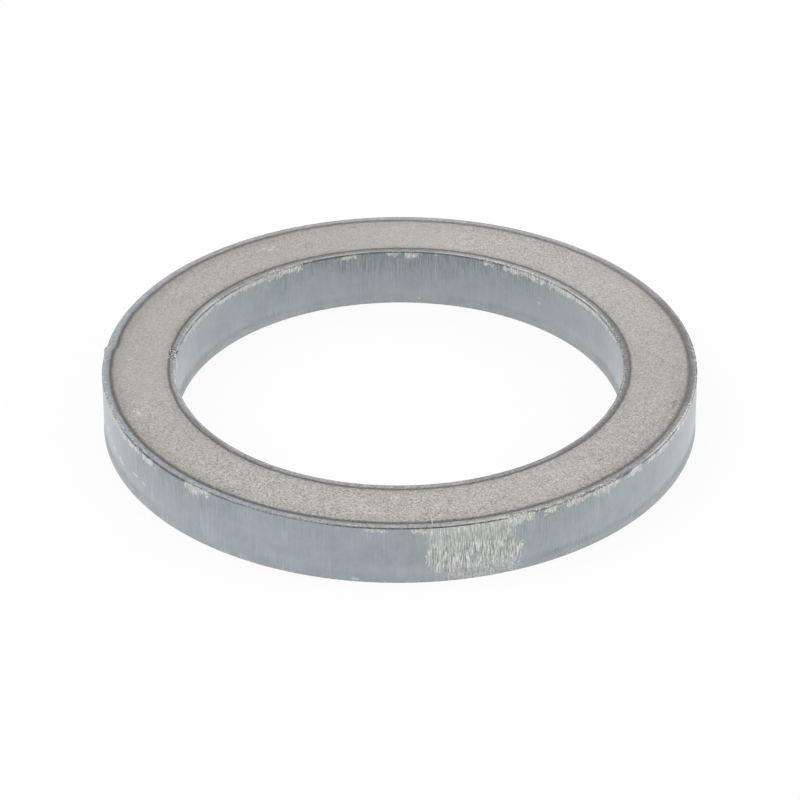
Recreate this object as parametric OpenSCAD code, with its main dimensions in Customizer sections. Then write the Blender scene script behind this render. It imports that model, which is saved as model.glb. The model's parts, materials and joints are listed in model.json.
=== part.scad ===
// Locking plate: one flat ring, flame-cut by a beam out of thick steel plate.
// It lies on its lower face. Millimetres, +Z up, origin on the ring's axis at the lower face.

/* [Ring] */
// Outside diameter of the ring
outer_d = 95.5; // [84:0.5:160]
// Diameter of the bore
bore_d = 72; // [20:0.5:84]
// Thickness of the plate
thickness = 10; // [5:0.5:25]

/* [Cut edges] */
// Width of the rim beside each cut, where the heat let the upper face sink
rim_w = 1.1; // [0.6:0.1:2]
// How far that rim sinks from the face to the corner
rim_drop = 0.04; // [0.02:0.02:0.4]
// Radius of the two upper edges, where the beam went in
upper_edge_r = 0.1; // [0.05:0.05:0.5]
// Radius of the two lower edges, where the beam came out
lower_edge_r = 0.1; // [0.05:0.05:1]

/* [Cut start] */
// Direction of the radial line on which both cuts start and end
start_angle = 174.5; // [0:0.5:360]
// Width of the mark that each start leaves along its edge
start_w = 1.6; // [1.3:0.1:3]
// How far down the wall each mark runs out
start_depth = 3; // [1:0.25:3.5]
// How far the pip stands out of the outside wall
pip_out = 0.25; // [0.1:0.05:0.4]
// How deep the nick goes into the bore wall
nick_in = 0.3; // [0.1:0.05:0.4]

/* [Hidden] */
$fn = 96;
outer_r = outer_d / 2;
bore_r = bore_d / 2;
rim_slope = atan(rim_drop / rim_w);
// The centre of an upper edge's arc lies one radius in from the wall, and this high, so that the
// arc runs into both the wall and the sloping rim
upper_arc_z = thickness - (rim_w - upper_edge_r) * tan(rim_slope) - upper_edge_r / cos(rim_slope);
// How far a cutting tool reaches past the face that it cuts
overcut = 1;
// How much further each mark's cone goes inside the wall, as a share of its visible depth
run_in = 1.25;

// Radius of the arc that stands off a round wall by rise over a given width
function mark_r(wall_r, width, rise) = 1 / (8 * rise / pow(width, 2) + 1 / wall_r);

// One side of the ring's section, from the middle of the plate to a wall at x = 0, with the material
// at negative x: a flat face, the sunken rim, the upper edge's arc, the wall and the lower edge's arc
module section_side(half_w) {
    polygon([
        [-half_w, 0],
        [-lower_edge_r, 0],
        [0, lower_edge_r],
        [0, upper_arc_z],
        [upper_edge_r * (sin(rim_slope) - 1), upper_arc_z + upper_edge_r * cos(rim_slope)],
        [-rim_w, thickness],
        [-half_w, thickness],
    ]);
    translate([-upper_edge_r, upper_arc_z]) circle(r = upper_edge_r);
    translate([-lower_edge_r, lower_edge_r]) circle(r = lower_edge_r);
}

// Section of the ring, with the radius along x
module ring_section() {
    half_w = (outer_r - bore_r) / 2;
    translate([outer_r, 0]) section_side(half_w);
    translate([bore_r, 0]) mirror([1, 0]) section_side(half_w);
}

// Cone that stands off a round wall by rise at top_z and runs out into it start_depth lower. It goes on
// a little inside the wall, and above top_z by extra
module start_cone(wall_r, rise, top_z, extra = 0) {
    r = mark_r(wall_r, start_w, rise);
    fall = rise / start_depth;
    rotate(start_angle)
        translate([wall_r + rise - r, 0, top_z - run_in * start_depth])
            cylinder(h = run_in * start_depth + extra, r1 = r - run_in * rise, r2 = r + fall * extra);
}

// The whole plate: the revolved section, with the pip on its outside wall and the nick in its bore
module locking_plate() {
    color([0.66, 0.67, 0.68])
    difference() {
        union() {
            rotate_extrude() ring_section();
            start_cone(outer_r, pip_out, thickness - rim_drop);
        }
        start_cone(bore_r, nick_in, thickness, overcut);
    }
}

locking_plate();
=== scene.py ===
"""Dresses the locking plate: one steel ring with beam-cut walls, on a pale floor."""

import functools
import json
import math

import bmesh
import bpy
from bpy.props import FloatProperty, FloatVectorProperty, IntProperty, PointerProperty
from mathutils import Matrix, Vector, noise


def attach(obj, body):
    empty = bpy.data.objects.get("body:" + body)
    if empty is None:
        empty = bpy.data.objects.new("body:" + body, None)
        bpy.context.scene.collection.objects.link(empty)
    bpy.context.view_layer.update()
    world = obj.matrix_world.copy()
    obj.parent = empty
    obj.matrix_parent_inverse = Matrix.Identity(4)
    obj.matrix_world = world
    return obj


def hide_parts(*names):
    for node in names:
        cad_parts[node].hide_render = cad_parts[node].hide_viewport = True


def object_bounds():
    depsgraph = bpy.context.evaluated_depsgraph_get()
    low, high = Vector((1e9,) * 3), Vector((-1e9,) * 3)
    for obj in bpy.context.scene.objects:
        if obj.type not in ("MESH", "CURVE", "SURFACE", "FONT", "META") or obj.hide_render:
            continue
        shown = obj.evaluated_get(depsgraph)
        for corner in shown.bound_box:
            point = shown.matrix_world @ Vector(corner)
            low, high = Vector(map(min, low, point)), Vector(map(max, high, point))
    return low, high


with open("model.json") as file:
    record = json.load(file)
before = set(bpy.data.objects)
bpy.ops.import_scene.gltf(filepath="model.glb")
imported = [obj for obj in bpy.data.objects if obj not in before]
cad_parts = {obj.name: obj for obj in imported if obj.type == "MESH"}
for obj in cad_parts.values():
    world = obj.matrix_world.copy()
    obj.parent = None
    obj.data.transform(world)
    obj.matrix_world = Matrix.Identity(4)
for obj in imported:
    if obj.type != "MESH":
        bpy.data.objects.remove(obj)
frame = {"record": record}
cad_low, cad_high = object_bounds()

bl_info = {
    "name": "Locking Plate",
    "version": (1, 0, 0),
    "blender": (4, 5, 0),
    "location": "View3D > Sidebar > Locking Plate",
    "description": "Builds a beam-cut steel ring with flaking oxide on its cut walls",
    "category": "Add Mesh",
}

MM = 0.001
NODE = "locking_plate"
BODY = "root"
BORE = next(m for m in frame["record"]["mounts"] if m["name"] == "bore")

# Angles are in degrees from +X towards +Y, and lengths in millimetres.
# Where the oxide has flaked off a wall: from and to angle, then from and to height. A height over the
# plate's thickness means that the bare patch runs up to the wall's upper edge.
OUTER_FLAKES = (
    (14.0, 24.0, 9.3, 11.0),
    (37.0, 41.0, 9.1, 11.0),
    (58.0, 72.0, 9.0, 11.0),
    (83.0, 86.0, 9.2, 11.0),
    (104.0, 109.0, 8.9, 11.0),
    (127.0, 143.0, 9.2, 11.0),
    (158.0, 162.0, 9.1, 11.0),
    (176.0, 188.0, 9.1, 11.0),
    (188.0, 204.0, 9.45, 11.0),
    (203.0, 206.4, 9.0, 11.0),
    (207.6, 211.6, 8.9, 11.0),
    (213.2, 217.2, 8.6, 9.75),
    (226.3, 232.2, 9.1, 11.0),
    (226.8, 229.6, 8.45, 11.0),
    (263.8, 265.0, 9.05, 9.75),
    (266.2, 267.3, 9.35, 9.75),
    (271.6, 274.2, 9.0, 9.75),
    (273.6, 276.0, 9.3, 9.75),
    (275.0, 283.3, 2.7, 11.0),
    (276.4, 283.3, 1.7, 11.0),
    (282.6, 285.2, 4.5, 11.0),
    (284.6, 291.6, 2.9, 11.0),
    (287.0, 292.8, 2.8, 5.0),
    (289.0, 295.2, 8.6, 11.0),
    (297.6, 300.2, 8.9, 11.0),
    (302.0, 306.2, 8.95, 11.0),
    (306.8, 308.4, 9.2, 9.8),
    (308.6, 314.6, 8.8, 11.0),
    (309.6, 312.4, 8.35, 11.0),
    (317.9, 321.4, 8.95, 11.0),
    (323.6, 326.0, 8.95, 11.0),
    (327.2, 331.2, 9.0, 11.0),
    (332.0, 337.6, 9.3, 11.0),
    (338.0, 341.6, 9.05, 11.0),
    (341.6, 346.0, 9.4, 11.0),
)
BORE_FLAKES = (
    (12.0, 25.0, 9.05, 11.0),
    (25.0, 36.0, 8.95, 11.0),
    (36.0, 47.0, 8.85, 11.0),
    (48.0, 61.0, 9.0, 11.0),
    (63.9, 64.9, 9.05, 11.0),
    (65.7, 66.3, 9.2, 11.0),
    (79.4, 80.8, 9.2, 11.0),
    (85.0, 88.8, 8.85, 9.75),
    (90.6, 93.0, 9.2, 9.75),
    (102.0, 105.0, 9.1, 11.0),
    (117.0, 124.5, 8.85, 11.0),
    (124.0, 131.0, 9.0, 11.0),
    (131.0, 147.3, 9.0, 11.0),
    (148.0, 158.0, 9.15, 11.0),
    (158.0, 168.0, 9.5, 11.0),
    (204.0, 209.0, 9.2, 11.0),
    (228.0, 241.0, 9.0, 11.0),
    (257.0, 260.0, 9.2, 11.0),
    (279.0, 294.0, 9.1, 11.0),
    (312.0, 316.0, 9.0, 11.0),
    (331.0, 347.0, 9.3, 11.0),
)
# Stretches of an edge or a wall: from and to angle, then how strong the effect is there.
# Rims that are darker in stretches
OUTER_DARK_RIM = ((-17.0, 26.0, 1.0), (26.0, 45.0, 0.45), (205.0, 300.0, 0.12), (306.0, 343.0, 0.45))
BORE_DARK_RIM = (
    (-48.0, 26.0, 1.0),
    (26.0, 40.0, 0.5),
    (78.0, 128.0, 0.8),
    (122.0, 146.0, 0.75),
    (155.0, 188.0, 0.5),
    (203.0, 223.0, 0.9),
    (222.0, 248.0, 0.45),
    (286.0, 312.0, 0.5),
)
# Painted highlight along the lips of the rims
OUTER_LIP_HIGHLIGHT = (
    (-12.0, 24.0, 0.25),
    (20.0, 150.0, 0.2),
    (158.0, 194.0, 0.1),
    (200.0, 220.0, 0.2),
    (277.0, 292.0, 0.55),
    (321.0, 352.0, 0.85),
)
BORE_LIP_HIGHLIGHT = (
    (18.0, 38.0, 0.8),
    (34.0, 126.0, 0.3),
    (98.0, 112.0, 0.7),
    (120.0, 146.0, 0.25),
    (144.0, 168.0, 0.6),
    (172.0, 186.0, 0.3),
    (182.0, 191.0, 0.7),
    (189.0, 200.0, 0.2),
    (196.0, 228.0, 0.4),
    (226.0, 250.0, 0.2),
    (312.0, 356.0, 0.3),
)
# Painted shade in the groove below the lip
OUTER_GAP_SHADE = (
    (0.0, 190.0, 0.6),
    (203.0, 211.0, 0.6),
    (210.0, 226.5, 1.0),
    (232.4, 258.0, 0.6),
    (256.0, 290.0, 1.0),
    (290.0, 295.5, 0.3),
    (295.5, 298.0, 1.0),
    (298.0, 315.0, 0.6),
    (315.0, 318.4, 1.0),
    (321.4, 331.0, 0.8),
    (331.0, 336.0, 1.0),
    (338.0, 352.0, 0.35),
)
BORE_GAP_SHADE = (
    (-14.0, 9.0, 0.6),
    (8.0, 28.0, 0.7),
    (26.0, 43.0, 0.85),
    (43.0, 59.0, 0.35),
    (59.0, 117.0, 0.85),
    (84.0, 98.0, 1.0),
    (117.0, 128.0, 0.35),
    (127.0, 139.0, 0.5),
    (138.0, 153.0, 0.75),
    (152.0, 170.0, 0.7),
    (180.0, 360.0, 0.6),
)
# Where that painted shade is more than a thin line
OUTER_GAP_SHADE_HEIGHT = (
    (203.0, 226.0, 0.35),
    (256.0, 292.0, 0.15),
    (295.5, 298.0, 0.5),
    (298.0, 315.0, 0.4),
    (315.0, 318.4, 0.7),
    (321.4, 331.0, 0.4),
    (331.0, 336.0, 0.5),
    (338.0, 352.0, 0.8),
)
BORE_GAP_SHADE_HEIGHT = (
    (-12.0, 24.0, 0.8),
    (27.0, 41.0, 0.15),
    (44.0, 67.0, 0.4),
    (104.0, 116.0, 0.4),
    (117.0, 150.0, 0.5),
    (150.0, 170.0, 0.9),
)
# Rims that are dark along their corner
OUTER_CORNER = ((60.0, 150.0, 0.8), (203.0, 238.0, 1.5), (234.0, 252.0, 1.0), (306.0, 321.0, 1.3))
BORE_CORNER = ((200.0, 330.0, 0.2),)
# Faces that are browner beside the heat line
OUTER_TINT = ((0.0, 360.0, 0.5), (112.0, 240.0, 1.0), (304.0, 354.0, 0.9))
BORE_TINT = ((0.0, 360.0, 0.5), (30.0, 80.0, 0.8), (112.0, 170.0, 1.0), (205.0, 290.0, 0.9))
# Darker parts of the face
FACE_DIM = (
    (100.0, 226.0, 1.0),
    (205.0, 270.0, 0.6),
    (240.0, 310.0, 0.42),
    (290.0, 345.0, 0.3),
    (312.0, 376.0, 0.8),
)
# How coarse the face's grain is
FACE_GRAIN = (
    (0.0, 360.0, 0.4),
    (-42.0, 27.0, 0.62),
    (3.0, 57.0, 0.68),
    (36.0, 84.0, 0.82),
    (98.0, 162.0, 0.55),
    (186.0, 237.0, 0.68),
    (213.0, 267.0, 0.88),
    (243.0, 302.0, 0.95),
    (278.0, 357.0, 0.8),
)
# Rims that stayed clean
OUTER_CLEAN = ((38.0, 112.0, 1.0), (100.0, 165.0, 0.5), (142.0, 160.0, 0.9))
BORE_CLEAN = ()
# Rims that turned bluish
OUTER_COOL = ((148.0, 252.0, 1.0),)
BORE_COOL = ((150.0, 196.0, 0.4),)
# How far the heat line lies nearer to the cut
OUTER_LINE_IN = ((90.0, 146.0, 0.08), (204.0, 222.0, 0.07))
BORE_LINE_IN = ((84.0, 122.0, 0.07), (172.0, 250.0, 0.1), (292.0, 345.0, 0.06))
# Edges that broke into light and dark crumbs
OUTER_CRUMBS = (
    (-18.0, 6.0, 0.8),
    (4.0, 20.0, 0.4),
    (172.0, 180.0, 0.6),
    (186.0, 214.0, 0.7),
    (226.0, 233.0, 0.5),
    (240.0, 270.0, 0.25),
    (288.0, 316.0, 1.0),
    (330.0, 346.0, 0.7),
)
BORE_CRUMBS = (
    (-40.0, -8.0, 0.5),
    (-12.0, 26.0, 0.6),
    (44.0, 68.0, 0.8),
    (84.0, 94.0, 0.4),
    (114.0, 128.0, 0.9),
    (145.0, 160.0, 0.4),
    (170.0, 179.0, 0.9),
)
# Walls whose skin shows the cut's streaks
OUTER_STREAKS = ((20.0, 150.0, 0.6), (208.0, 236.0, 0.5), (293.0, 308.0, 0.5))
BORE_STREAKS = ((48.0, 112.0, 1.0), (80.0, 106.0, 1.3), (104.0, 128.0, 0.85), (200.0, 330.0, 0.6))
# Walls with a band of painted shade low down, in place of a shallow hollow that the walls' shape leaves out
OUTER_LOW_SHADE = ((188.0, 214.0, 0.8), (296.0, 354.0, 1.0), (20.0, 160.0, 0.5))
BORE_LOW_SHADE = ((0.0, 30.0, 0.7), (48.0, 76.0, 0.5), (122.0, 172.0, 0.8), (200.0, 340.0, 0.5))
# Where a wall is rubbed dull and grey: as for the flakes
OUTER_SCUFFS = ((281.0, 292.4, -0.6, 2.8), (278.6, 284.0, 0.5, 2.4))
BORE_SCUFFS = ((150.0, 166.0, 8.9, 11.0), (174.0, 192.0, 7.2, 11.0))
# Walls whose skin is bluer
OUTER_BLUE = ((229.0, 269.0, 1.0), (60.0, 120.0, 0.6))
BORE_BLUE = ((220.0, 300.0, 0.5),)
# Walls that are lighter halfway up
OUTER_GLOW = ((229.0, 251.0, 1.0), (300.0, 312.0, 1.0), (330.0, 354.0, 1.6))
BORE_GLOW = ((104.0, 118.0, 1.0), (160.0, 176.0, 1.0))
# Single marks: angle, height on a wall or radius on the face, then half their length round the ring and
# half their width
OUTER_MARKS = (
    (194.5, 5.3, 0.9, 0.5),
    (199.2, 3.9, 0.9, 0.35),
    (203.4, 3.6, 1.7, 0.3),
    (202.8, 4.1, 0.8, 0.25),
    (210.0, 4.2, 1.2, 0.28),
    (213.2, 4.1, 0.75, 0.3),
    (261.8, 0.45, 0.8, 0.35),
)
BORE_MARKS = ((49.7, 4.85, 0.55, 0.35), (84.7, 0.95, 0.35, 0.28))
START_SPOTS = ((175.0, 36.7, 3.0, 1.1), (174.5, 47.8, 0.6, 0.4))
START_WALL_SPOTS = ((174.2, 9.8, 0.9, 0.5),)
FACE_MARKS = (
    (120.6, 42.7, 0.9, 0.3),
    (121.6, 43.5, 0.8, 0.25),
    (119.4, 43.2, 0.5, 0.25),
    (200.0, 43.8, 1.0, 0.4),
    (198.9, 44.3, 0.5, 0.25),
    (338.5, 45.7, 0.3, 0.3),
    (276.0, 46.2, 0.12, 1.0),
)
FACE_SMUDGES = ((344.0, 45.2, 1.1, 0.65), (317.0, 42.4, 0.9, 0.4), (100.0, 45.0, 0.7, 0.3))


def tone(red, green, blue):
    """A colour given as it looks on a screen, 0 to 255, as the linear values that shaders take."""

    def linear(level):
        share = level / 255
        return share / 12.92 if share <= 0.04045 else ((share + 0.055) / 1.055) ** 2.4

    return linear(red), linear(green), linear(blue)


def length_prop(name, description, value):
    return FloatProperty(name=name, description=description, default=value, unit="LENGTH", precision=5)


def number_prop(name, description, value):
    return FloatProperty(name=name, description=description, default=value)


def angle_prop(name, description, degrees):
    return FloatProperty(name=name, description=description, default=math.radians(degrees), subtype="ANGLE")


def colour_prop(name, description, value):
    return FloatVectorProperty(
        name=name, description=description, default=value, subtype="COLOR", size=3, min=0, max=1
    )


class PlateSizes(bpy.types.PropertyGroup):
    """Sizes of the ring and of the marks that the cut left on it"""

    outer_radius: length_prop("Outer radius", "From the axis to the outside wall", cad_high.x)
    bore_radius: length_prop("Bore radius", "From the axis to the bore wall", BORE["dims"]["r_mm"] * MM)
    thickness: length_prop("Thickness", "Thickness of the plate", cad_high.z - cad_low.z)
    rim_width: length_prop("Rim width", "Width of the sunken rim beside the outer cut", 1.26 * MM)
    bore_rim: length_prop("Bore rim width", "Width of the sunken rim beside the bore", 1.05 * MM)
    rim_drop: length_prop("Rim drop", "How far the rim sinks at the corner", 0.004 * MM)
    upper_edge: length_prop("Upper edge", "Radius of the edges where the beam went in", 0.02 * MM)
    lower_edge: length_prop("Lower edge", "Radius of the edges where the beam came out", 0.05 * MM)
    line_width: length_prop("Heat line width", "Width of the groove between rim and face", 0.5 * MM)
    line_depth: length_prop("Heat line depth", "Depth of the groove between rim and face", 0.04 * MM)
    lip: length_prop("Lip", "Height of the lip at the upper edge", 0.03 * MM)
    gap: length_prop("Gap", "Height of the groove below the lip", 0.22 * MM)
    gap_depth: length_prop("Gap depth", "Depth of the groove below the lip", 0.06 * MM)
    start_angle: angle_prop("Cut start", "Direction in which both cuts start and end", 174.5)
    start_width: length_prop("Start width", "Width of the marks at the cut's start", 1.6 * MM)
    start_depth: length_prop("Start depth", "How far the start marks run down the walls", 3.0 * MM)
    pip: length_prop("Pip", "How far the pip stands out of the outside wall", 0.24 * MM)
    nick: length_prop("Nick", "How deep the nick goes into the bore wall", 0.3 * MM)
    steps: IntProperty(
        name="Steps", description="Steps of the section round the ring", default=1920, min=320
    )


class PlateFinish(bpy.types.PropertyGroup):
    """Colours of the steel and its oxide"""

    face: colour_prop("Face", "Dull rolled face of the plate", tone(176, 175, 173))
    rim: colour_prop("Rim", "Rim that sank beside a cut", tone(160, 160, 161))
    rim_blue: colour_prop("Bluish rim", "Rims that turned bluish", tone(154, 159, 165))
    # Lip: painted highlight along the rims' lips; also the colour of light crumbs, marks, start spots and
    # the bare steel's painted sheen
    lip: colour_prop("Lip", "Rubbed lip of a rim", tone(232, 232, 230))
    # Grey of the rims' darker stretches and of the face's smudges
    darkening: colour_prop("Soot", "Sooty stretches of the rims", tone(120, 120, 121))
    heat_line: colour_prop("Heat line", "Dark line between rim and face", tone(97, 96, 95))
    heat_tint: colour_prop("Heat tint", "Brown tint on the face beside the heat line", tone(160, 156, 150))
    oxide: colour_prop("Oxide", "Blue-grey skin of the cut walls", tone(146, 156, 164))
    oxide_pale: colour_prop("Pale oxide", "Greyer clouds of that skin", tone(147, 156, 159))
    oxide_end: colour_prop("End oxide", "Violet skin at the ring's left and right", tone(151, 151, 158))
    oxide_low: colour_prop("Low oxide", "Rougher skin low on the walls", tone(165, 172, 176))
    # Dark oxide: also the colour of the painted shade band low on the walls
    oxide_dark: colour_prop("Dark oxide", "Dark streaks and bands of that skin", tone(116, 126, 131))
    foot: colour_prop("Foot", "Grey foot of the walls at the ring's left and right", tone(169, 168, 170))
    bare: colour_prop("Bare steel", "Steel where the skin has flaked off", tone(221, 220, 216))
    scuff: colour_prop("Scuffs", "Rubbed, dull places on the skin", tone(206, 205, 202))
    bare_dark: colour_prop("Bare steel grooves", "Grooves in the bare steel", tone(142, 145, 144))
    # Gap: painted shade in the groove below the lip; also the colour of the rims' dark corners, dark crumbs
    # and the cut's start spots
    gap: colour_prop("Gap", "Dark groove below the lip", tone(52, 53, 55))


class PlateStage(bpy.types.PropertyGroup):
    """Where the camera stands and how bright the stage is"""

    elevation: angle_prop("Elevation", "Height of the camera above the horizon", 31.81)
    distance: length_prop("Distance", "From the camera to the middle of the ring", 645.2 * MM)
    roll: angle_prop("Roll", "Turn of the camera about its line of sight", -0.208)
    lens: FloatProperty(name="Lens", description="Focal length in millimetres", default=179.9, min=1)
    frame_x: number_prop("Frame X", "Sideways shift of the frame", 0.0005)
    frame_y: number_prop("Frame Y", "Upward shift of the frame", -0.0134)
    floor_white: number_prop("Floor white", "Share of the floor that no shadow dims", 0.88)
    sky: number_prop("Sky", "Strength of the even light from all round", 0.75)
    lamp: number_prop("Lamp", "Power of the soft lamp overhead, in watts", 2.6)
    left_lamp: number_prop("Left lamp", "Power of the lamp on the left, in watts", 1.0)
    right_lamp: number_prop("Right lamp", "Power of the lamp on the right, in watts", 1.5)


# Section and mesh of the ring
# Pieces of each edge's arc
UPPER_SEGMENTS, LOWER_SEGMENTS = 2, 2
# Rows of a wall below and above the share of its height from which they are finer
LOWER_ROWS, UPPER_ROWS = 8, 5
FINE_FROM = 0.7
# How often the spun part of the ring is doubled
DOUBLINGS = 4
# Metres within which two points are one
SNAP = 1e-7
# Upright share of a face's normal from which it belongs to the rolled faces
FACE_UP = 0.7


def side_corners(sizes, rim_width):
    """One side of the section, from its lower corner up and in: depth behind the wall, then height."""
    top = sizes.thickness
    corner = top - sizes.rim_drop
    slope = sizes.rim_drop / rim_width
    rim_end = rim_width - sizes.line_width / 2
    gap_top = corner - sizes.lip
    return [
        (0, 0),
        (0, FINE_FROM * top),
        (0, gap_top - sizes.gap),
        (sizes.gap_depth, gap_top - sizes.gap / 2),
        (0, gap_top),
        (0, corner),
        (rim_end, corner + slope * rim_end),
        (rim_width, top - sizes.line_depth),
        (rim_width + sizes.line_width / 2, top),
    ]


def draw_section(sizes):
    """The section's outline as one face at y = 0."""
    bm = bmesh.new()
    sides = []
    walls = (sizes.outer_radius, -1, sizes.rim_width), (sizes.bore_radius, 1, sizes.bore_rim)
    for wall, inward, rim in walls:
        sides.append([bm.verts.new((wall + inward * d, 0, z)) for d, z in side_corners(sizes, rim)])
    outer, bore = sides
    bm.faces.new(outer + bore[::-1])
    return bm


def on_wall(sizes, vert):
    """Whether a vertex of the section lies on one of the two walls."""
    return min(abs(vert.co.x - r) for r in (sizes.outer_radius, sizes.bore_radius)) < SNAP


def corners_at(bm, sizes, height):
    return [v for v in bm.verts if on_wall(sizes, v) and abs(v.co.z - height) < SNAP]


def middle_of(edge):
    return sum((v.co for v in edge.verts), Vector()) / 2


def divide_outline(bm, sizes):
    """Leaves only the outline's edges, with the walls cut into rows and the lower face in two."""
    bmesh.ops.delete(bm, geom=bm.faces[:], context="FACES_ONLY")
    fine_from = FINE_FROM * sizes.thickness
    rows = {LOWER_ROWS: [], UPPER_ROWS: [], 2: []}
    for edge in bm.edges:
        low, high = sorted(edge.verts, key=lambda v: v.co.z)
        if high.co.z < SNAP:
            rows[2].append(edge)
        elif on_wall(sizes, low) and on_wall(sizes, high) and edge.calc_length() > 1 * MM:
            rows[LOWER_ROWS if high.co.z < fine_from + 10 * SNAP else UPPER_ROWS].append(edge)
    for count, edges in rows.items():
        for middle in [middle_of(edge) for edge in edges]:
            edge = min(bm.edges, key=lambda e: (middle_of(e) - middle).length)
            bmesh.ops.subdivide_edges(bm, edges=[edge], cuts=count - 1)


def round_corners(bm, corners, radius, segments):
    bmesh.ops.bevel(
        bm,
        geom=corners,
        offset=radius,
        offset_type="OFFSET",
        segments=segments,
        profile=0.5,
        affect="VERTICES",
        material=-1,
    )


def mark_way_round(bm, sizes):
    """Writes on each vertex how far along the section's outline it lies, from 0 to 1."""
    way = bm.verts.layers.float.new("way_round")
    middle = Vector(((sizes.outer_radius + sizes.bore_radius) / 2, 0, 0))
    start = min(bm.verts, key=lambda v: (v.co - middle).length)
    vert, edge, gone = start, start.link_edges[0], 0.0
    while True:
        vert[way] = gone
        gone += edge.calc_length()
        vert = edge.other_vert(vert)
        if vert is start:
            break
        edge = next(e for e in vert.link_edges if e is not edge)
    for v in bm.verts:
        v[way] /= gone


def order_faces(bm):
    """Puts the four-sided faces in an order that is the same in each run."""
    bm.verts.index_update()
    count = len(bm.verts)

    def rank(face):
        corners = [v.index for v in face.verts]
        first = corners.index(min(corners))
        return corners[first] * count + corners[first - 2]

    bm.faces.sort(key=rank)


def spin_section(bm, steps):
    """Spins the section through a part of a turn, then doubles that until the ring closes."""
    part = math.tau / 2**DOUBLINGS
    bmesh.ops.spin(
        bm,
        geom=bm.verts[:] + bm.edges[:],
        axis=(0, 0, 1),
        cent=(0, 0, 0),
        angle=part,
        steps=steps // 2**DOUBLINGS,
    )
    for k in range(DOUBLINGS):
        copied = bmesh.ops.duplicate(bm, geom=bm.verts[:] + bm.edges[:] + bm.faces[:])["geom"]
        verts = [x for x in copied if isinstance(x, bmesh.types.BMVert)]
        bmesh.ops.rotate(bm, verts=verts, cent=(0, 0, 0), matrix=Matrix.Rotation(part * 2**k, 3, "Z"))
    bmesh.ops.remove_doubles(bm, verts=bm.verts, dist=SNAP)
    bmesh.ops.recalc_face_normals(bm, faces=bm.faces)
    order_faces(bm)


def turn_from(angle, start):
    """The angle from start in degrees, between -180 and 180."""
    return (angle - start + 180) % 360 - 180


def clamp(value):
    return min(1.0, max(0.0, value))


def swell(angle, centre, width):
    """A smooth swelling round the ring: 1 at its centre, and nearly nothing at twice its width away."""
    return math.exp(-((turn_from(angle, centre) / width) ** 2))


def inside_patch(angle, height, arc, patch):
    """How far inside a bare patch a point of the wall lies, in millimetres, negative outside."""
    first, last, low, high = patch
    half = (last - first) / 2
    across = half - abs(turn_from(angle, first + half))
    return min(across * arc, height - low, high - height)


def along(angle, stretches, fade):
    """How strong an effect is at an angle, fading over a few degrees at the ends of its stretches."""
    most = 0.0
    for first, last, strength in stretches:
        half = (last - first) / 2
        into = half - abs(turn_from(angle, first + half))
        most = max(most, strength * clamp(0.5 + into / fade))
    return most


def start_mark(arc, width):
    """Shape of a mark at the cut's start: 1 on its radial line, 0 from half its width on."""
    return max(0.0, 1 - (2 * arc / width) ** 2)


def line_kink(arc):
    """How far the heat line swings in before the cut's start, which it meets in a short step."""
    run_up, step, swing = 12.0, 0.8, 0.4
    if -run_up < arc < -step:
        return swing * ((arc + run_up) / (run_up - step)) ** 1.5
    return swing * -arc / step if -step <= arc < 0 else 0.0


# For each effect its stretches on the outer side, those beside the bore, and the degrees over which it fades
EDGE_EFFECTS = {
    # Rims darker in stretches
    "darkening": (OUTER_DARK_RIM, BORE_DARK_RIM, 6.0),
    # Lip: painted highlight. Gap and gap height: painted shade in the groove below the lip.
    "lip": (OUTER_LIP_HIGHLIGHT, BORE_LIP_HIGHLIGHT, 6.0),
    "gap": (OUTER_GAP_SHADE, BORE_GAP_SHADE, 1.2),
    "gap_shade_height": (OUTER_GAP_SHADE_HEIGHT, BORE_GAP_SHADE_HEIGHT, 1.2),
    "corner": (OUTER_CORNER, BORE_CORNER, 4.0),
    "tinted": (OUTER_TINT, BORE_TINT, 12.0),
    "dim": (FACE_DIM, FACE_DIM, 30.0),
    "rough": (FACE_GRAIN, FACE_GRAIN, 24.0),
    "clean": (OUTER_CLEAN, BORE_CLEAN, 16.0),
    "cool": (OUTER_COOL, BORE_COOL, 24.0),
    "line_in": (OUTER_LINE_IN, BORE_LINE_IN, 16.0),
    "crumble": (OUTER_CRUMBS, BORE_CRUMBS, 3.0),
    "streaky": (OUTER_STREAKS, BORE_STREAKS, 12.0),
    # Low band: painted shade of a shallow hollow low on the walls
    "low_shade_band": (OUTER_LOW_SHADE, BORE_LOW_SHADE, 6.0),
    "blue": (OUTER_BLUE, BORE_BLUE, 6.0),
    "glow": (OUTER_GLOW, BORE_GLOW, 8.0),
}
PATCHES = {"flaking": (OUTER_FLAKES, BORE_FLAKES), "scuffing": (OUTER_SCUFFS, BORE_SCUFFS)}

# How the walls are shaped, in millimetres: the grooves that the beam dragged down them
GROOVE_PITCH, GROOVE_LENGTH, GROOVE_DEPTH = 0.5, 6.0, 0.008
# Their slow wander in and out
WANDER_ACROSS, WANDER_UP, WANDER_DEPTH = 9.0, 12.0, 0.02
# The crumbs of a broken edge, and the height from which they grow
CRUMB_SIZE, CRUMB_DEPTH, CRUMBS_FROM = 0.6, 0.06, 9.0
# How fast the burr dies away above the lower edge
BURR_HEIGHT = 0.4
# The height from which the upper part of a wall departs from the lower, and over what run
UPPER_FROM, UPPER_RUN = 6.0, 3.0
# How far behind a wall its shaping still reaches
SHAPED_DEPTH = 1.6


@functools.lru_cache(maxsize=None)
def effects_at(angle, side):
    """Strength of every edge effect at an angle, on the outer side, 0, or beside the bore, 1."""
    return {name: along(angle, tables[side], fade) for name, (*tables, fade) in EDGE_EFFECTS.items()}


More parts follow.
